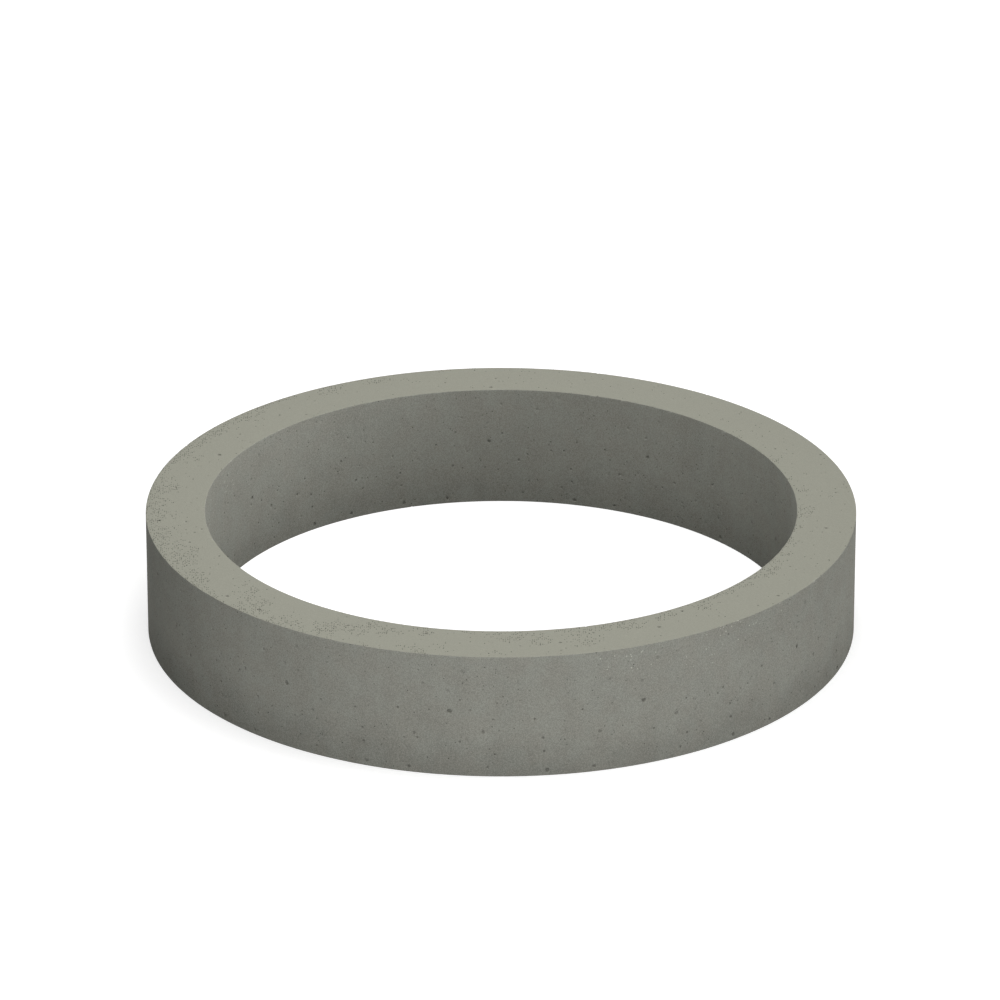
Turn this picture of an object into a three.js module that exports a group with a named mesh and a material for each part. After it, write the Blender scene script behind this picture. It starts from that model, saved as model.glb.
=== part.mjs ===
// A short precast concrete culvert ring: one cast piece with an open bore, a plain
// cylindrical wall and two flat ends, which seat on the ring below and carry the ring above.
// Millimetres, +Z up. The origin is the centre of the bed face that the ring stands on.

import * as THREE from "three";

// Driving dimensions
const BORE_DIAMETER = 700;
const WALL_THICKNESS = 70;
const RING_HEIGHT = 150;
// The mould leaves each of the four rims with a small rounded arris.
const ARRIS_RADIUS = 1.5;

// Fineness of the round forms
const RING_FACETS = 144;
const ARRIS_DIVISIONS = 2;

const BORE_RADIUS = BORE_DIAMETER / 2;
const OUTER_RADIUS = BORE_RADIUS + WALL_THICKNESS;

// The wall cut through on one side: x is the distance from the ring's axis and y is the
// height. It runs anticlockwise, so that the turned faces point out of the concrete.
function wallSection() {
  const innerArris = BORE_RADIUS + ARRIS_RADIUS;
  const outerArris = OUTER_RADIUS - ARRIS_RADIUS;
  const bedArris = ARRIS_RADIUS;
  const seatArris = RING_HEIGHT - ARRIS_RADIUS;
  const quarter = Math.PI / 2;

  const section = new THREE.Path();
  section.moveTo(innerArris, 0);
  section.lineTo(outerArris, 0);
  section.absarc(outerArris, bedArris, ARRIS_RADIUS, -quarter, 0);
  section.lineTo(OUTER_RADIUS, seatArris);
  section.absarc(outerArris, seatArris, ARRIS_RADIUS, 0, quarter);
  section.lineTo(innerArris, RING_HEIGHT);
  section.absarc(innerArris, seatArris, ARRIS_RADIUS, quarter, 2 * quarter);
  section.lineTo(BORE_RADIUS, bedArris);
  section.absarc(innerArris, bedArris, ARRIS_RADIUS, 2 * quarter, 3 * quarter);
  return section.getPoints(ARRIS_DIVISIONS);
}

// LatheGeometry turns a section about Y, so the turned ring is stood up along Z.
function turnedRing(section) {
  const geometry = new THREE.LatheGeometry(section, RING_FACETS);
  geometry.rotateX(Math.PI / 2);
  return geometry;
}

const concrete = new THREE.MeshStandardMaterial({
  name: "concrete",
  color: 0x9a9a8e,
  roughness: 0.9,
  metalness: 0,
});

const concreteRing = new THREE.Mesh(turnedRing(wallSection()), concrete);
concreteRing.name = "concrete_ring";

const culvertRing = new THREE.Group();
culvertRing.name = "culvert_ring";
culvertRing.add(concreteRing);

export default culvertRing;
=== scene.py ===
"""The looks of a short precast concrete culvert ring. Metres, +Z up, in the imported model's frame.

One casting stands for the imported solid. Its skin starts as a flat net of points: one way runs
round the ring, and the other runs along the wall's section. The net is triangulated while it is
flat, then rolled up, and sunk at the blowholes, at the chips and in the slow waves of the mould.
"""

import math
import random

import bpy
import numpy as np
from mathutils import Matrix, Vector, noise
from mathutils.geometry import delaunay_2d_cdt


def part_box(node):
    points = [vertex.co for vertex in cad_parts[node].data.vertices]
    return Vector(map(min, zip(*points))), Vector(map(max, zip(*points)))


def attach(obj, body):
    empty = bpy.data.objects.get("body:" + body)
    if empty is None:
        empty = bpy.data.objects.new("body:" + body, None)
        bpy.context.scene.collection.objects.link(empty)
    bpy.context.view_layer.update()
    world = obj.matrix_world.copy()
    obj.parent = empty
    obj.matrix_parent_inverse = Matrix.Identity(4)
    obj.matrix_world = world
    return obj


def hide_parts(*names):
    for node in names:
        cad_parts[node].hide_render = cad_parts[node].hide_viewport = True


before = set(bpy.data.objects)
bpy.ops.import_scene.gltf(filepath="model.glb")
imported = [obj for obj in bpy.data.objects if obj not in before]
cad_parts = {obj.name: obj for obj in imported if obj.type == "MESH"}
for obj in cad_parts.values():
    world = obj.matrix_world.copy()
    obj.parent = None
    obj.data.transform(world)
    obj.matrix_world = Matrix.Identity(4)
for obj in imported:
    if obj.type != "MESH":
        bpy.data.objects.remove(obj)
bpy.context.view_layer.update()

MM = 0.001
RANDOM_SEED = 840
draw = random.Random(RANDOM_SEED)

# Main sizes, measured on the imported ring
RING_NODE = "concrete_ring"
_, ring_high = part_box(RING_NODE)
HEIGHT = ring_high.z
OUTER_RADIUS = ring_high.x
BORE_RADIUS = min(math.hypot(v.co.x, v.co.y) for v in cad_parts[RING_NODE].data.vertices)
WALL = OUTER_RADIUS - BORE_RADIUS
MIDDLE_RADIUS = BORE_RADIUS + WALL / 2

# The radius of the arris that the mould leaves
ARRIS = 0.6 * MM
# The fineness of the net: points in a row, the step between rows on a face, the steps on an
# arris, and how far the guard rows lie from it
POINTS_ROUND = 400
ROW_STEP = 6 * MM
ARRIS_ROWS = 3
GUARD = 0.5 * MM
# The seam, where the net's two ends meet, has points of its own. The others stay this share of a
# step away from it
END_CLEAR = 0.25
# No pit crosses the seam
SEAM_CLEAR = 8 * MM

# Stretches of the section, which starts in the middle of the bed face and runs outwards, up the
# outer wall, inwards over the seat face, down the bore and back under the bed face
HALF_BED_RUN = WALL / 2 - ARRIS
WALL_RUN = HEIGHT - 2 * ARRIS
SEAT_RUN = WALL - 2 * ARRIS
RUNS = (HALF_BED_RUN, WALL_RUN, SEAT_RUN, WALL_RUN, HALF_BED_RUN)
TURN_RUN = ARRIS * math.pi / 2
OUTER_START = HALF_BED_RUN + TURN_RUN
SEAT_START = OUTER_START + WALL_RUN + TURN_RUN
BORE_START = SEAT_START + SEAT_RUN + TURN_RUN
BED_START = BORE_START + WALL_RUN + TURN_RUN
SECTION_LENGTH = BED_START + HALF_BED_RUN
NET_LENGTH = 2 * math.pi * MIDDLE_RADIUS

# Blowholes that the air leaves against a mould panel: degrees on from the panel's mark, height
# above the bed in mm, width in mm, and depth as a share of the width
PANEL_BLOWHOLES = (
    (0.0, 81, 5.0, 0.40),
    (2.1, 131, 5.0, 0.10),
    (-0.3, 106, 4.0, 0.12),
    (1.6, 43, 2.6, 0.35),
    (5.2, 56, 4.2, 0.25),
    (5.9, 12, 3.0, 0.30),
    (7.0, 28, 2.6, 0.35),
    (6.8, 72, 2.6, 0.30),
    (13.2, 72, 2.8, 0.35),
    (14.5, 48, 3.0, 0.30),
    (14.7, 31, 3.4, 0.30),
    (15.2, 7, 5.0, 0.30),
    (20.7, 80, 3.0, 0.35),
    (22.6, 7, 4.0, 0.35),
    (23.5, 50, 4.0, 0.25),
    (25.0, 114, 3.6, 0.15),
)
# Each panel's mark in degrees round, how far its pattern is drawn out, which runs the other way
# in the bore, and the least offset that shows
OUTER_PANELS = (
    (206.0, 0.95, -1),
    (234.3, 0.94, -1),
    (262.0, 1.0, -1),
    (292.7, 1.1, -1),
    (324.5, 1.0, -1),
)
BORE_PANELS = (
    (149.3, -1.22, -1),
    (128.5, -1.22, 12),
    (92.4, -1.15, -1),
    (59.1, -1.25, -1),
)
# From panel to panel, a blowhole's width varies between these shares
PANEL_VARIATION = (0.9, 1.1)
# The bore's larger blowholes are smaller than the outer wall's, and their painted shade fainter, by this
# share
BORE_SHARE = 0.87
# The sides away from the camera get the same sizes strewn at random: from and to which angle, one
# to how many degrees, and between which heights in mm
OUTER_REST = (355, 563)
BORE_REST = (158, 382)
DEGREES_EACH = 2
REST_HEIGHTS = (8, 142)

# Blowholes in the seat face: degrees round, distance from the axis in mm, width in mm. All have
# the same depth as a share of the width, and the same painted shade
SEAT_BLOWHOLES = (
    (21.5, 413, 3.5), (27, 371, 2.6), (92, 359, 4.5), (100.5, 379, 3.2), (131, 362, 3.2),
    (139.5, 393, 2.6), (146, 381, 2.6), (156, 371, 4.8), (172, 391, 3.4), (186, 405, 4.8),
    (196, 379, 3.4), (219, 405, 4.0), (226.5, 402, 4.8), (242.5, 377, 3.4), (256.5, 366, 4.4),
    (280, 386, 4.0), (286.5, 369, 3.0), (298, 383, 4.4), (305, 361, 3.6), (321.5, 407, 3.6),
    (350.5, 387, 4.0),
)
SEAT_DEPTH = 0.25
SEAT_PAINTED_SHADE = 0.3

# Small blowholes all over: start and length of the face along the section, and how many it has
SMALL_BLOWHOLES = (
    (OUTER_START, WALL_RUN, 420),
    (BORE_START, WALL_RUN, 280),
    (SEAT_START, SEAT_RUN, 100),
    (0.0, HALF_BED_RUN, 60),
    (BED_START, HALF_BED_RUN, 60),
)
# Their least width and its spread in mm, depth as a share of the width, painted shade, and points round
SMALL_WIDTH = 1.2
SMALL_WIDTH_SPREAD = 1.4
SMALL_DEPTH = (0.14, 0.36)
SMALL_PAINTED_SHADE = (0.12, 0.48)
SMALL_SIDES = 8
# They stay this far from the arrises
ARRIS_CLEAR = 4 * MM

# Chips on each arris: how many, width in mm, depth as a share of the width, how far each is drawn
# out along the arris, and the free room round it in widths
CHIPS_PER_ARRIS = 9
CHIP_WIDTH = (2.0, 3.6)
CHIP_DEPTH = (0.12, 0.2)
CHIP_STRETCH = (1.2, 2.0)
CHIP_ROOM = 3

# A pit's rings of points: reach as a share of the half width, and drop as a share of the depth
PIT_RINGS = ((1.3, 0.0), (1.0, 0.06), (0.88, 0.5), (0.62, 0.88), (0.3, 1.0))
# How many points the widest of them has. Narrower ones have fewer, by their reach and a little
# more
PIT_SIDES = 16
EXTRA_SIDES = 0.1
LEAST_SIDES = 5
# Lobes of a pit's outline, as shares of its half width, and the slant of its floor
PIT_LOBES = (0.03, 0.13)
PIT_SLANT = 0.2
# The net's own points stay this share of the width from the middle of a pit
PIT_ROOM = 0.75
# Painted shade lies on the sides of a blowhole too, so that it looks like a soft dark spot
PAINTED_SHADE_SPREAD = 1.8
# How dark the painted shade is in a flat blowhole, and how much darker it gets with depth
PAINTED_SHADE_LEAST = 0.08
PAINTED_SHADE_BY_DEPTH = 0.72

# The mould's waves: depth, the long and the short ones to the metre, and the short ones' share of
# the depth
WAVE_DEPTH = 0.07 * MM
LONG_WAVES = 14
SHORT_WAVES = 47
SHORT_WAVE_SHARE = 0.6
# How many times that depth their middle lies inside the true surface, so that none stands proud
WAVE_OFFSET = 1.2

# Blender's triangulation: all triangles inside the points' hull, and the weld distance
HULL_TRIANGLES = 0
WELD = 1e-9


def section(along):
    """Radius, height and outward direction of the section at each distance along it."""
    radius, height = np.zeros_like(along), np.zeros_like(along)
    out_r, out_z = np.zeros_like(along), np.zeros_like(along)
    here = Vector((MIDDLE_RADIUS, 0.0))
    start, heading = 0.0, 0.0
    for run in RUNS:
        forward = Vector((math.cos(heading), math.sin(heading)))
        on = (along >= start) & (along <= start + run)
        radius[on] = here.x + forward.x * (along[on] - start)
        height[on] = here.y + forward.y * (along[on] - start)
        out_r[on], out_z[on] = forward.y, -forward.x
        here, start = here + forward * run, start + run
        centre = here + ARRIS * Vector((-forward.y, forward.x))
        on = (along > start) & (along < start + TURN_RUN)
        turning = heading + (along[on] - start) / ARRIS
        out_r[on], out_z[on] = np.sin(turning), -np.cos(turning)
        radius[on] = centre.x + ARRIS * out_r[on]
        height[on] = centre.y + ARRIS * out_z[on]
        heading += math.pi / 2
        start += TURN_RUN
        here = centre + ARRIS * Vector((math.sin(heading), -math.cos(heading)))
    return radius, height, out_r, out_z


class Net:
    """The flat net. Each point has its place, how deep it is sunk, its painted shade and wear, and the
    middle of its pit along the section.

    A whole pit is sunk one way, inwards from its middle, so a chip doesn't fold the arris over.
    """

    def __init__(self):
        self.points = []
        self.taken = []

    def add(self, across, along, sunk=0.0, painted_shade=0.0, wear=0.0, middle=None):
        self.points.append((across, along, sunk, painted_shade, wear, along if middle is None else middle))

    def is_free(self, across, along, reach):
        clear_of_seam = SEAM_CLEAR < across < NET_LENGTH - SEAM_CLEAR
        return clear_of_seam and all(
            math.hypot(across - a, along - b) > reach + r for a, b, r in self.taken
        )

    def pit(self, across, along, width, depth, dark=1.0, sides=PIT_SIDES, chip=False):
        """A rounded pit of slightly uneven outline, drawn as rings of points that go down.

        A blowhole has painted shade in it. A chip is drawn out along its arris, and it is worn.
        """
        radius_here = float(section(np.array([along]))[0][0])
        stretch = MIDDLE_RADIUS / radius_here * (draw.uniform(*CHIP_STRETCH) if chip else 1.0)
        lobes = [(n, draw.uniform(0, 2 * math.pi), draw.uniform(*PIT_LOBES)) for n in (2, 3)]
        slant = draw.uniform(-PIT_SLANT, PIT_SLANT)
        for share, drop in PIT_RINGS:
            count = max(LEAST_SIDES, round(sides * min(1, share + EXTRA_SIDES)))
            shift = draw.uniform(0, 1)
            painted_shade = 0.0 if chip else dark * min(1.0, PAINTED_SHADE_SPREAD * drop)
            wear = drop if chip else 0.0
            for k in range(count):
                turn = 2 * math.pi * (k + shift) / count
                outline = 1 + sum(size * math.cos(n * turn + phase) for n, phase, size in lobes)
                reach = width / 2 * share * outline
                sunk = depth * drop * (1 + slant * math.cos(turn))
                self.add(across + reach * math.cos(turn) * stretch, along + reach * math.sin(turn),
                         sunk, painted_shade, wear, middle=along)
        self.add(across, along, depth, 0.0 if chip else dark, 1.0 if chip else 0.0, middle=along)
        self.taken.append((across, along, width * PIT_ROOM * (stretch if chip else 1)))


def round_to(degrees):
    """The place across the flat net of an angle round the ring."""
    return math.radians(degrees % 360) * MIDDLE_RADIUS


def wall_place(start, height):
    """The place along the section of a height on the outer wall or in the bore."""
    climb = height - ARRIS
    return start + (climb if start == OUTER_START else WALL_RUN - climb)


def darkness(depth):
    """How much darker than the paste the painted shade in a pit is, by the depth as a share of the
    width.
    """
    return PAINTED_SHADE_LEAST + PAINTED_SHADE_BY_DEPTH * depth


def place_seen_blowholes(net):
    """The larger blowholes of the faces that the camera sees."""
    for panels, start in ((OUTER_PANELS, OUTER_START), (BORE_PANELS, BORE_START)):
        share = BORE_SHARE if start == BORE_START else 1.0
        for mark, drawn_out, least in panels:
            for offset, height, width, depth in PANEL_BLOWHOLES:
                if offset < least:
                    continue
                across = round_to(mark + offset * drawn_out)
                along = wall_place(start, height * MM)
                width_here = share * width * MM * draw.uniform(*PANEL_VARIATION)
                if net.is_free(across, along, width_here):
                    painted_shade = share * darkness(depth)
                    net.pit(across, along, width_here, width_here * depth, dark=painted_shade)
    for degrees, radius, width in SEAT_BLOWHOLES:
        along = SEAT_START + OUTER_RADIUS - ARRIS - radius * MM
        net.pit(round_to(degrees), along, width * MM, width * MM * SEAT_DEPTH, dark=SEAT_PAINTED_SHADE)


def strew_blowholes(net):
    """The panels' sizes of blowhole on the sides away from the camera, then small ones all over."""
    for start, (first, last) in ((OUTER_START, OUTER_REST), (BORE_START, BORE_REST)):
        share = BORE_SHARE if start == BORE_START else 1.0
        for _ in range(round((last - first) / DEGREES_EACH)):
            _, _, width, depth = draw.choice(PANEL_BLOWHOLES)
            width *= share
            across = round_to(draw.uniform(first, last))
            along = wall_place(start, draw.uniform(*REST_HEIGHTS) * MM)
            if net.is_free(across, along, width * MM):
                painted_shade = share * darkness(depth)
                net.pit(across, along, width * MM, width * MM * depth, dark=painted_shade)
    for start, run, count in SMALL_BLOWHOLES:
        for _ in range(count):
            width = (SMALL_WIDTH + SMALL_WIDTH_SPREAD * draw.random() ** 2) * MM
            across = draw.uniform(0, NET_LENGTH)
            along = start + draw.uniform(ARRIS_CLEAR, run - ARRIS_CLEAR)
            if net.is_free(across, along, width):
                painted_shade = draw.uniform(*SMALL_PAINTED_SHADE)
                depth = draw.uniform(*SMALL_DEPTH)
                net.pit(across, along, width, width * depth, dark=painted_shade, sides=SMALL_SIDES)


def chip_arrises(net):
    """Small flakes knocked off the four arrises."""
    middle = TURN_RUN / 2
    for along in (HALF_BED_RUN, SEAT_START - TURN_RUN, BORE_START - TURN_RUN, BED_START - TURN_RUN):
        for _ in range(CHIPS_PER_ARRIS):
            width = draw.uniform(*CHIP_WIDTH) * MM
            across = draw.uniform(0, NET_LENGTH)
            if net.is_free(across, along + middle, CHIP_ROOM * width):
                net.pit(across, along + middle, width, width * draw.uniform(*CHIP_DEPTH), chip=True)


def grid_rows():
    """Where the rows of the net lie along the section, and whether each is staggered.

    Rows on a turn, and the guard rows beside it, stand in columns, so that they make clean strips.
    """
    starts = (0.0, OUTER_START, SEAT_START, BORE_START, BED_START)
    rows = []
    for start, run in zip(starts, RUNS):
        first = start + GUARD if start > 0 else start
        last = start + run - GUARD if start < BED_START else SECTION_LENGTH
        steps = math.ceil((last - first) / ROW_STEP)
        rows += [(first, False)]
        rows += [(first + (last - first) * k / steps, k % 2 == 1) for k in range(1, steps)]
        rows += [(last, False)]
        if start < BED_START:
            rows += [(start + run + TURN_RUN * k / ARRIS_ROWS, False) for k in range(ARRIS_ROWS + 1)]
    return rows


def lay_grid(net):
    """The net's own points, apart from those that a pit takes. Both ends get the same points."""
    step = NET_LENGTH / POINTS_ROUND
    taken = np.array(net.taken)
    for along, staggered in grid_rows():
        places = (np.arange(POINTS_ROUND) + 0.5 * staggered) * step
        keep = np.ones(len(places), bool)
        for across, centre, reach in taken[np.abs(taken[:, 1] - along) < taken[:, 2]]:
            keep &= np.hypot(places - across, along - centre) > reach
        clear_of_end = places > END_CLEAR * step
        for across in places[keep & clear_of_end]:
            net.add(float(across), along)
        net.add(0.0, along)
        net.add(NET_LENGTH, along)


def close_net(net):
    """Triangulates the flat net and joins it to itself both ways: the points kept, and the faces."""
    flat = [Vector(point[:2]) for point in net.points]
    _, _, triangles, origins, _, _ = delaunay_2d_cdt(flat, [], [], HULL_TRIANGLES, WELD)
    index_of, kept, joined = {}, [], []
    for origin in origins:
        point = net.points[origin[0]]
        across, along = point[:2]
        key = (across if across < NET_LENGTH else 0.0, along if along < SECTION_LENGTH else 0.0)
        if key not in index_of:
            index_of[key] = len(kept)
            kept.append(point)
        joined.append(index_of[key])
    faces = [tuple(joined[corner] for corner in triangle) for triangle in triangles]
    return kept, [face for face in faces if len(set(face)) == 3]


def waves(place):
    """How far the mould's slow waves lie inside the true surface."""
    long_wave = noise.noise(place * LONG_WAVES)
    short_wave = SHORT_WAVE_SHARE * noise.noise(place * SHORT_WAVES)
    return WAVE_DEPTH * (WAVE_OFFSET + long_wave + short_wave)


def rolled_up(across, radial, upward):
    """Places or directions in the ring, from their radial and upward parts at each place across."""
    turn = across / MIDDLE_RADIUS
    return np.stack([radial * np.cos(turn), radial * np.sin(turn), upward], axis=1)


def cast_ring():
    """Makes the net, rolls it up into the ring, and sinks its waves, blowholes and chips."""
    net = Net()
    place_seen_blowholes(net)
    strew_blowholes(net)
    chip_arrises(net)
    lay_grid(net)
    points, faces = close_net(net)
    across, along, sunk, painted_shade, wear, middle = np.array(points).T
    radius, height, out_r, out_z = section(along)
    _, _, middle_out_r, middle_out_z = section(middle)
    surface = rolled_up(across, radius, height)
    wave = np.array([waves(Vector(place)) for place in surface])
    places = surface - rolled_up(across, out_r, out_z) * wave[:, None]
    places -= rolled_up(across, middle_out_r, middle_out_z) * sunk[:, None]
    mesh = bpy.data.meshes.new("cast_ring")
    mesh.from_pydata(places.tolist(), [], faces)
    # The painted shade of the pits goes to the material as a point attribute
    mesh.attributes.new("painted_pit_shade", "FLOAT", "POINT").data.foreach_set("value", painted_shade)
    mesh.attributes.new("worn", "FLOAT", "POINT").data.foreach_set("value", wear)
    mesh.shade_smooth()
    mesh.update()
    ring = bpy.data.objects.new("cast_ring", mesh)
    bpy.context.scene.collection.objects.link(ring)
    return ring


def add_node(tree, kind, inputs=None, **settings):
    """Adds a node; each input is a plain value or the socket that feeds it."""
    made = tree.nodes.new("ShaderNode" + kind)
    for name, value in settings.items():
        setattr(made, name, value)
    for key, value in (inputs or {}).items():
        if isinstance(value, bpy.types.NodeSocket):
            tree.links.new(value, made.inputs[key])
        else:
            made.inputs[key].default_value = value
    return made


# Linear colours of the cement paste: two in the walls' blotches, and one on the seat face. The
# seat face's yellower tint is partly painted warm light from above
WALL_PASTE = (0.3193, 0.3178, 0.279, 1)
WALL_PASTE_BLOTCH = (0.3167, 0.3212, 0.284, 1)
SEAT_PASTE_WARM_LIT = (0.324, 0.324, 0.271, 1)

# Noises: how many clouds there are to the metre, how many finer layers, and how rough these are
CLOUDS = (12, 3, 0.55)
BLOTCHES = (38, 3, 0.5)
STREAKS = (34, 2, 0.55)
GRIT = (330, 3, 0.65)
CLUSTERS = (26.5, 2, 0.55)
SPARSE_PATCHES = (15, 2, 0.55)
FOOT_BAYS = (24, 3, 0.55)
# Streaks are clouds drawn out upwards: their width as a share of their height
STREAK_SQUASH = 0.12
# Cells: how many there are to the metre, and how scattered they are
GRAINS = (1250, 1.0)
PINHOLES = (430, 0.75)

# Smooth steps: from and to which value, and where they aren't 0 and 1, the values at both ends.
# By how far a face looks up, the seat face is told from the walls
SEAT_STEP = (0.5, 0.9)
# By the distance from the middle of its cell, a pinhole's edge
PINHOLE_EDGE = (0.24, 0.36, 1.0, 0.0)
# By the noise, the share of cells with a pinhole in the clusters, and elsewhere
CLUSTER_SHARES = (0.579, 0.739, 0.012, 0.55)
SPARSE_SHARES = (0.35, 0.7, 0.006, 0.032)
# By the side of the ring and by the height, the share of cells with a pale grain
PALE_SIDE_STEP = (0.93, 0.99)
PALE_SHARES = (0.09, 0.13, 0.0, 0.045)
# By the height in metres, the painted shade at the foot, where the walls meet the floor
FOOT_STEP = (0.0, 0.065, 1.0, 0.0)
# By the blotches, the two colours of the walls' paste
PASTE_STEP = (0.35, 0.65)

# The noise of the clusters is read this many metres aside, which sets where they lie
CLUSTER_SHIFT = (4, 1, 0)
# They are thicker on this side, in degrees round, by this much added to the noise
CLUSTER_SIDE = 227
CLUSTER_LEAN = 0.117
# They crowd to the outer rim on this side and to the bore opposite, by this much added likewise
CROWDED_SIDE = 165
CROWDING = 0.289
# The middles of the two sides where the walls have pale grains, high up
PALE_SIDES = (304, 172)
# How far the foot's upper line rises and falls, in metres
FOOT_UNEVENNESS = 0.05

# How far each mark changes the tone, as a share of it
CLOUD_TONE = 0.17
BLOTCH_TONE = 0.04
WALL_BLOTCH_TONE = 0.11
STREAK_TONE = 0.11
GRIT_TONE = 0.03
GRAIN_TONE = 0.35
GRAIN_SHARE_ON_SEAT = 0.35
PINHOLE_TONE_ON_WALLS = 0.12
PINHOLE_TONE_ON_SEAT = 0.8
LONE_PINHOLE_TONE = 0.6
PALE_GRAIN_TONE = 0.9
FOOT_TONE = 0.165
FOOT_SHARE_IN_BORE = 0.7
WORN_TONE = 0.12

# The sheen, which is that of dry concrete, and the bump of grains, grit and pinholes
ROUGHNESS = 0.92
ROUGHNESS_SWING = 0.2
SPECULAR = 0.08
GRAIN_RELIEF = 0.4
BUMP_DEPTH = 0.2 * MM
BUMP_STRENGTH = 0.4


class Recipe:
    """Short words for a material's nodes. Every value is a plain number or a socket."""

    def __init__(self, tree):
        self.tree = tree
        self.place = add_node(tree, "TexCoord").outputs["Object"]
        normal = add_node(tree, "SeparateXYZ", {0: add_node(tree, "TexCoord").outputs["Normal"]})
        self.seat = self.ramp(normal.outputs["Z"], *SEAT_STEP)
        self.upright = self.minus(1.0, self.seat)
        self.height = add_node(tree, "SeparateXYZ", {0: self.place}).outputs["Z"]
        level = self.vector("MULTIPLY", self.place, (1, 1, 0)).outputs["Vector"]
        self.radius = add_node(tree, "VectorMath", {0: level}, operation="LENGTH").outputs["Value"]

    def vector(self, operation, a, b):
        return add_node(self.tree, "VectorMath", {0: a, 1: b}, operation=operation)

    def maths(self, operation, a, b):
        return add_node(self.tree, "Math", {0: a, 1: b}, operation=operation).outputs[0]

    def plus(self, a, b):
        return self.maths("ADD", a, b)

    def minus(self, a, b):
        return self.maths("SUBTRACT", a, b)

    def times(self, a, b):
        return self.maths("MULTIPLY", a, b)

    def swing(self, value, amount):
        """A value about a half, as a swing of that amount about nought."""
        return self.times(self.minus(value, 0.5), amount)

    def ramp(self, value, low, high, to_low=0.0, to_high=1.0):
        """A smooth step from one value to another, between a low and a high end."""
        return add_node(self.tree, "MapRange", {"Value": value, "From Min": low, "From Max": high,
                                                "To Min": to_low, "To Max": to_high},
                        interpolation_type="SMOOTHSTEP").outputs["Result"]

    def cloud(self, scale, detail, roughness, where=None):
        """Noise of that many clouds to the metre, about a half."""
        return add_node(self.tree, "TexNoise", {"Vector": where or self.place, "Scale": scale,
                                                "Detail": detail, "Roughness": roughness}).outputs["Fac"]

    def cells(self, scale, scatter):
        """Random cells of that many to the metre: distance to the middle, and three random values."""
        made = add_node(self.tree, "TexVoronoi", {"Vector": self.place, "Scale": scale,
                                                  "Randomness": scatter})
        chance = add_node(self.tree, "SeparateColor", {0: made.outputs["Color"]})
        return made.outputs["Distance"], chance.outputs

    def facing(self, degrees):
        """1 on the side of the ring at that angle round, 0 a quarter round from it, -1 opposite."""
        way = (math.cos(math.radians(degrees)), math.sin(math.radians(degrees)), 0)
        reach = self.vector("DOT_PRODUCT", self.place, way)
        return self.maths("DIVIDE", reach.outputs["Value"], self.radius)

    def some(self, dot, chance, share):
        """The dots of that share of the cells."""
        return self.times(dot, self.maths("LESS_THAN", chance, share))

    def blend(self, share, a, b):
        """One colour turning into another."""
        return add_node(self.tree, "Mix", {0: share, 6: a, 7: b}, data_type="RGBA").outputs[2]

    def attribute(self, name):
        return add_node(self.tree, "Attribute", attribute_name=name).outputs["Fac"]


def dots(r):
    """Pinholes in clusters on the seat face, pinholes that stand singly, and pale grains.

    The clusters crowd to the outer rim on one side and to the bore on the other. The pale grains
    are on the walls, high up on two sides.
    """
    distance, chance = r.cells(*PINHOLES)
    dot = r.ramp(distance, *PINHOLE_EDGE)
    outwards = r.maths("DIVIDE", r.minus(r.radius, MIDDLE_RADIUS), WALL / 2)
    crowding = r.times(r.times(outwards, r.facing(CROWDED_SIDE)), CROWDING)
    shifted = r.vector("ADD", r.place, CLUSTER_SHIFT).outputs["Vector"]
    clusters = r.cloud(*CLUSTERS, where=shifted)
    clusters = r.plus(clusters, r.times(r.facing(CLUSTER_SIDE), CLUSTER_LEAN))
    thick = r.ramp(r.plus(clusters, crowding), *CLUSTER_SHARES)
    sparse = r.ramp(r.cloud(*SPARSE_PATCHES), *SPARSE_SHARES)
    pale_side = r.maths("MAXIMUM", *[r.facing(side) for side in PALE_SIDES])
    pale = r.times(r.ramp(pale_side, *PALE_SIDE_STEP), r.ramp(r.height, *PALE_SHARES))
    return (r.some(dot, chance["Red"], thick), r.some(dot, chance["Blue"], sparse),
            r.some(dot, chance["Green"], pale))


def painted_foot_shade(r):
    """Painted shade at the foot of the walls, where they meet the floor, fainter in the bore, with an
    uneven upper line.
    """
    line = r.plus(r.height, r.swing(r.cloud(*FOOT_BAYS), FOOT_UNEVENNESS))
    foot = r.times(r.ramp(line, *FOOT_STEP), r.upright)
    return r.times(foot, r.ramp(r.radius, BORE_RADIUS, OUTER_RADIUS, FOOT_SHARE_IN_BORE, 1.0))


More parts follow.
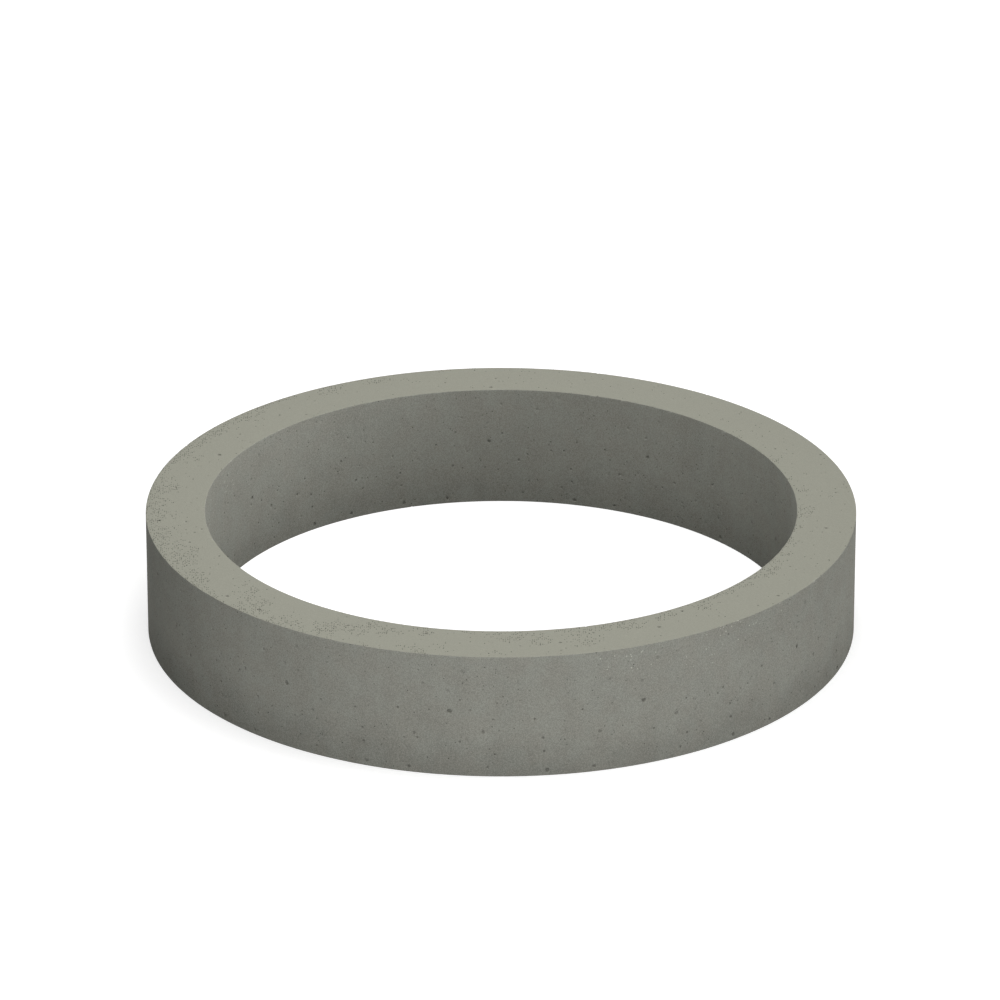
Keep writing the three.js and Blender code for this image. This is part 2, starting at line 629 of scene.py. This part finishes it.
def concrete():
    """Cast concrete: cement paste of cloudy tone, sand grains, pinholes, painted shade at the foot and
    in the blowholes, pale wear.
    """
    material = bpy.data.materials.new("concrete")
    material.use_nodes = True
    tree = material.node_tree
    shader = tree.nodes["Principled BSDF"]
    r = Recipe(tree)

    clouds = r.cloud(*CLOUDS)
    blotches = r.cloud(*BLOTCHES)
    squashed = r.vector("MULTIPLY", r.place, (1, 1, STREAK_SQUASH)).outputs["Vector"]
    streaks = r.cloud(*STREAKS, where=squashed)
    grit = r.cloud(*GRIT)
    _, grain_chance = r.cells(*GRAINS)
    grains = grain_chance["Blue"]
    pinholes, lone_pinholes, pale_grains = dots(r)

    tone = r.plus(1.0, r.times(r.swing(clouds, CLOUD_TONE), r.upright))
    tone = r.plus(tone, r.swing(blotches, BLOTCH_TONE))
    tone = r.plus(tone, r.times(r.swing(blotches, WALL_BLOTCH_TONE), r.upright))
    tone = r.plus(tone, r.times(r.swing(streaks, STREAK_TONE), r.upright))
    tone = r.plus(tone, r.swing(grit, GRIT_TONE))
    grain_share = r.ramp(r.upright, 0.0, 1.0, GRAIN_SHARE_ON_SEAT, 1.0)
    tone = r.plus(tone, r.times(r.swing(grains, GRAIN_TONE), grain_share))
    pinhole_tone = r.ramp(r.seat, 0.0, 1.0, PINHOLE_TONE_ON_WALLS, PINHOLE_TONE_ON_SEAT)
    tone = r.minus(tone, r.times(pinholes, pinhole_tone))
    tone = r.minus(tone, r.times(lone_pinholes, r.times(r.upright, LONE_PINHOLE_TONE)))
    tone = r.plus(tone, r.times(pale_grains, r.times(r.upright, PALE_GRAIN_TONE)))
    # Painted shade at the foot of the walls, where they meet the floor
    tone = r.minus(tone, r.times(painted_foot_shade(r), FOOT_TONE))
    # Painted shade in the blowholes, darker the deeper they are
    tone = r.times(tone, r.minus(1.0, r.attribute("painted_pit_shade")))
    tone = r.times(tone, r.plus(1.0, r.times(r.attribute("worn"), WORN_TONE)))

    wall_paste = r.blend(r.ramp(blotches, *PASTE_STEP), WALL_PASTE, WALL_PASTE_BLOTCH)
    # The seat face gets its own paste, yellower than the walls' partly as a painted tint of light from
    # above
    paste = r.blend(r.seat, wall_paste, SEAT_PASTE_WARM_LIT)
    colour = add_node(tree, "VectorMath", {0: paste, "Scale": tone}, operation="SCALE")
    tree.links.new(colour.outputs["Vector"], shader.inputs["Base Color"])
    roughness = r.plus(ROUGHNESS, r.swing(blotches, ROUGHNESS_SWING))
    tree.links.new(roughness, shader.inputs["Roughness"])
    shader.inputs["Specular IOR Level"].default_value = SPECULAR

    relief = r.minus(r.plus(r.times(grains, GRAIN_RELIEF), grit), pinholes)
    bump = add_node(tree, "Bump", {"Height": relief, "Distance": BUMP_DEPTH,
                                   "Strength": BUMP_STRENGTH})
    tree.links.new(bump.outputs["Normal"], shader.inputs["Normal"])
    return material


def seen_directly(tree):
    """1 for rays from the camera, and for reflected and refracted ones, which show the backdrop."""
    rays = add_node(tree, "LightPath").outputs
    seen = rays["Is Camera Ray"]
    for kind in ("Is Glossy Ray", "Is Transmission Ray"):
        seen = add_node(tree, "Math", {0: seen, 1: rays[kind]}, operation="MAXIMUM").outputs[0]
    return seen


WHITE = (1, 1, 1, 1)
# The floor: half its side in metres, its tone as the ring sees it and as the camera sees it, and
# its own glow, near the ring and at a distance, with the distances in metres
FLOOR_HALF = 20.0
FLOOR_DULL = (0.3, 0.3, 0.3, 1)
FLOOR_LIT = (0.58, 0.58, 0.58, 1)
GLOW_NEAR = 0.72
GLOW_FAR = 1.0
GLOW_FROM = 1.0
GLOW_TO = 5.0
# The world's plain light on the ring
AMBIENT = 0.1


def make_floor():
    """A plain pale floor, white to the camera apart from the ring's soft shadow.

    Its own glow grows away from the ring, where the lamps no longer reach it.
    """
    mesh = bpy.data.meshes.new("floor")
    corners = [(-1, -1), (1, -1), (1, 1), (-1, 1)]
    mesh.from_pydata([(x * FLOOR_HALF, y * FLOOR_HALF, 0) for x, y in corners], [], [(0, 1, 2, 3)])
    floor = bpy.data.objects.new("floor", mesh)
    bpy.context.scene.collection.objects.link(floor)
    material = bpy.data.materials.new("floor")
    material.use_nodes = True
    tree = material.node_tree
    tree.nodes.clear()
    dull = add_node(tree, "BsdfDiffuse", {"Color": FLOOR_DULL})
    lit = add_node(tree, "BsdfDiffuse", {"Color": FLOOR_LIT})
    place = add_node(tree, "TexCoord").outputs["Object"]
    away = add_node(tree, "VectorMath", {0: place}, operation="LENGTH").outputs["Value"]
    glow = add_node(tree, "MapRange", {"Value": away, "From Min": GLOW_FROM, "From Max": GLOW_TO,
                                       "To Min": GLOW_NEAR, "To Max": GLOW_FAR}).outputs["Result"]
    emission = add_node(tree, "Emission", {"Color": WHITE, "Strength": glow}).outputs[0]
    pale = add_node(tree, "AddShader", {0: lit.outputs[0], 1: emission}).outputs[0]
    mixed = add_node(tree, "MixShader", {0: seen_directly(tree), 1: dull.outputs[0], 2: pale})
    add_node(tree, "OutputMaterial", {"Surface": mixed.outputs[0]})
    mesh.materials.append(material)


def make_world():
    """Plain ambient light on the ring, and a white background."""
    world = bpy.data.worlds.new("world")
    world.use_nodes = True
    bpy.context.scene.world = world
    tree = world.node_tree
    tree.nodes.clear()
    ambient = add_node(tree, "Background", {"Color": WHITE, "Strength": AMBIENT}).outputs[0]
    white = add_node(tree, "Background", {"Color": WHITE, "Strength": 1.0}).outputs[0]
    mixed = add_node(tree, "MixShader", {0: seen_directly(tree), 1: ambient, 2: white})
    add_node(tree, "OutputWorld", {"Surface": mixed.outputs[0]})


# Distant lights: azimuth and elevation in degrees, and how far each lights a surface that faces it
SUNS = {
    "low_right_sun": (0, 10, 0.395),
    "high_right_sun": (0, 50, 0.16),
    "low_back_sun": (110, 10, 0.15),
}
# Their width in degrees, and how many metres off they stand, which doesn't change their light
SUN_SOFTNESS = 40
SUN_DISTANCE = 3.0
# Round softboxes: azimuth and elevation in degrees, distance in metres, and watts
SOFTBOXES = {
    "front_box": (270, 14, 2.06, 13.8),
    "front_left_box": (225, 14, 2.06, 2.5),
    "back_box": (90, 48, 2.97, 9.4),
    "over_box": (0, 90, 2.0, 19.2),
}
# Their width in metres
SOFTBOX_SIZE = 1.0


def place_lamp(name, kind, azimuth, elevation, distance):
    """A lamp that faces the ring. Azimuth 0 shines from +X and 90 from +Y."""
    data = bpy.data.lights.new(name, kind)
    lamp = bpy.data.objects.new(name, data)
    a, e = math.radians(azimuth), math.radians(elevation)
    way = Vector((math.cos(a) * math.cos(e), math.sin(a) * math.cos(e), math.sin(e)))
    lamp.location = distance * way
    lamp.rotation_euler = lamp.location.to_track_quat("Z", "Y").to_euler()
    lamp.visible_camera = False
    bpy.context.scene.collection.objects.link(lamp)
    return data


def light_the_ring():
    """Wide, soft lamps, which together with the world light a level surface about fully."""
    for name, (azimuth, elevation, strength) in SUNS.items():
        sun = place_lamp(name, "SUN", azimuth, elevation, SUN_DISTANCE)
        sun.energy = strength * math.pi
        sun.angle = math.radians(SUN_SOFTNESS)
    for name, (azimuth, elevation, distance, watts) in SOFTBOXES.items():
        box = place_lamp(name, "AREA", azimuth, elevation, distance)
        box.shape = "DISK"
        box.size = SOFTBOX_SIZE
        box.energy = watts


# The camera: degrees above level, distance, the height on the ring's axis that it looks at, how
# far it stands aside, its lens and sensor in mm, and how many metres it sees
CAMERA_PITCH = 23.975
CAMERA_DISTANCE = 8.144
CAMERA_AIM = 0.1573
CAMERA_ASIDE = -0.0012
CAMERA_LENS = 247.93
CAMERA_SENSOR = 36
CAMERA_REACH = 100


def make_camera():
    """The photograph's view: 8.1 m off, 24 degrees above level, through a long lens."""
    pitch = math.radians(CAMERA_PITCH)
    data = bpy.data.cameras.new("camera")
    data.sensor_width = CAMERA_SENSOR
    data.lens = CAMERA_LENS
    data.clip_end = CAMERA_REACH
    camera = bpy.data.objects.new("camera", data)
    back, up = CAMERA_DISTANCE * math.cos(pitch), CAMERA_DISTANCE * math.sin(pitch)
    camera.location = (CAMERA_ASIDE, -back, CAMERA_AIM + up)
    camera.rotation_euler = (math.pi / 2 - pitch, 0, 0)
    bpy.context.scene.collection.objects.link(camera)
    bpy.context.scene.camera = camera


make_camera()
ring = cast_ring()
ring.data.materials.append(concrete())
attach(ring, "root")
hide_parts(RING_NODE)

make_floor()
make_world()
light_the_ring()
bpy.context.scene.view_settings.view_transform = "Standard"
